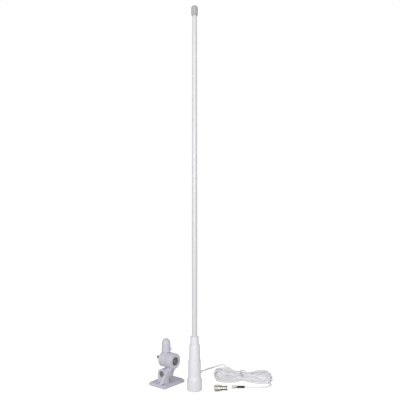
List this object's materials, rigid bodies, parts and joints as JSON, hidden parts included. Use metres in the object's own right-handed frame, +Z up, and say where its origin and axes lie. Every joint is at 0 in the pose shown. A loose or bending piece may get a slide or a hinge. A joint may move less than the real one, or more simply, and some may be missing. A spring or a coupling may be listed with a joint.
{
  "type": "omnidirectional antenna",
  "caption": "White marine VHF whip antenna on a stepped ferrule, with its ratchet deck mount, hank of coaxial cable, cable connector and loose radio adapter.",
  "frame": {"origin": "middle of the ratchet mount's underside, on the surface that everything stands on", "axes": "+Z up along the antenna and square to the mount's underside, +X towards the cable hank, +Y away from the viewer's side"},
  "size_m": [0.4053, 0.2265, 1.2],
  "materials": {
    "white_cap": "moulded, satin gloss",
    "white_radome": "glass-fibre tube, polished white coat",
    "white_nylon": "moulded nylon, satin",
    "grey_nylon": "moulded glass-filled nylon, satin",
    "white_jacket": "smooth PVC jacket",
    "white_tie": "plastic-coated twist tie",
    "black_steel": "black oxide",
    "black_sleeve": "heat-shrink tube, semi-gloss",
    "black_rubber": "moulded, matt",
    "nickel": "bright nickel plate",
    "brass": "drawn brass",
    "copper": "enamelled copper wire",
    "ptfe": "turned PTFE",
    "foam": "cut closed-cell foam"
  },
  "bodies": {
    "root": {"base_bracket": "grey_nylon", "lower_bolt": "black_steel", "lower_bolt_washer": "black_steel", "tip_cap": "white_cap", "whip_radome": "white_radome", "radiator_rod": "brass", "coil_former": "ptfe", "matching_coil": "copper", "centring_disc_1": "foam", "centring_disc_2": "foam", "centring_disc_3": "foam", "centring_disc_4": "foam", "crimp_sleeve": "brass", "inner_coax": "white_jacket", "ferrule_body": "white_nylon", "retaining_ring": "brass", "seal_washer": "black_rubber", "strain_relief": "white_jacket", "coax_lead": "white_jacket", "coax_hank": "white_jacket", "hank_tie": "white_tie", "coax_tail": "white_jacket", "heat_shrink": "black_sleeve", "connector_crimp": "nickel", "connector_body": "nickel", "connector_insulator": "ptfe", "connector_pin": "brass", "adapter_body": "nickel", "adapter_insulator": "ptfe", "adapter_pin": "brass"},
    "arm": {"swivel_arm": "grey_nylon", "lower_nut": "black_steel", "lower_nut_washer": "black_steel", "upper_bolt": "black_steel", "upper_bolt_washer": "black_steel"},
    "head": {"stud_head": "grey_nylon", "upper_nut": "black_steel", "upper_nut_washer": "black_steel"},
    "cap": {"thread_cap": "grey_nylon"},
    "collar": {"swivel_collar": "white_nylon"},
    "nut": {"coupling_nut": "nickel"}
  },
  "joints": [
    {"name": "lower_pivot", "type": "hinge", "parent": "root", "child": "arm", "pos_m": [0, 0, 0.035], "axis": [0.6428, 0.766, 0], "range_deg": [-75, 30]},
    {"name": "upper_pivot", "type": "hinge", "parent": "arm", "child": "head", "pos_m": [0, 0, 0.078], "axis": [0.766, -0.6428, 0], "range_deg": [-90, 90]},
    {"name": "cap_pull", "type": "slide", "parent": "head", "child": "cap", "axis": [0, 0, 1], "range_m": [0, 0.03]},
    {"name": "collar_spin", "type": "hinge", "parent": "root", "child": "collar", "pos_m": [0.09, -0.06, 0.0165], "axis": [0, 0, 1], "continuous": true},
    {"name": "coupling_nut_spin", "type": "hinge", "parent": "root", "child": "nut", "pos_m": [0.161, -0.07, 0.0098], "axis": [1, 0, 0], "continuous": true}
  ]
}
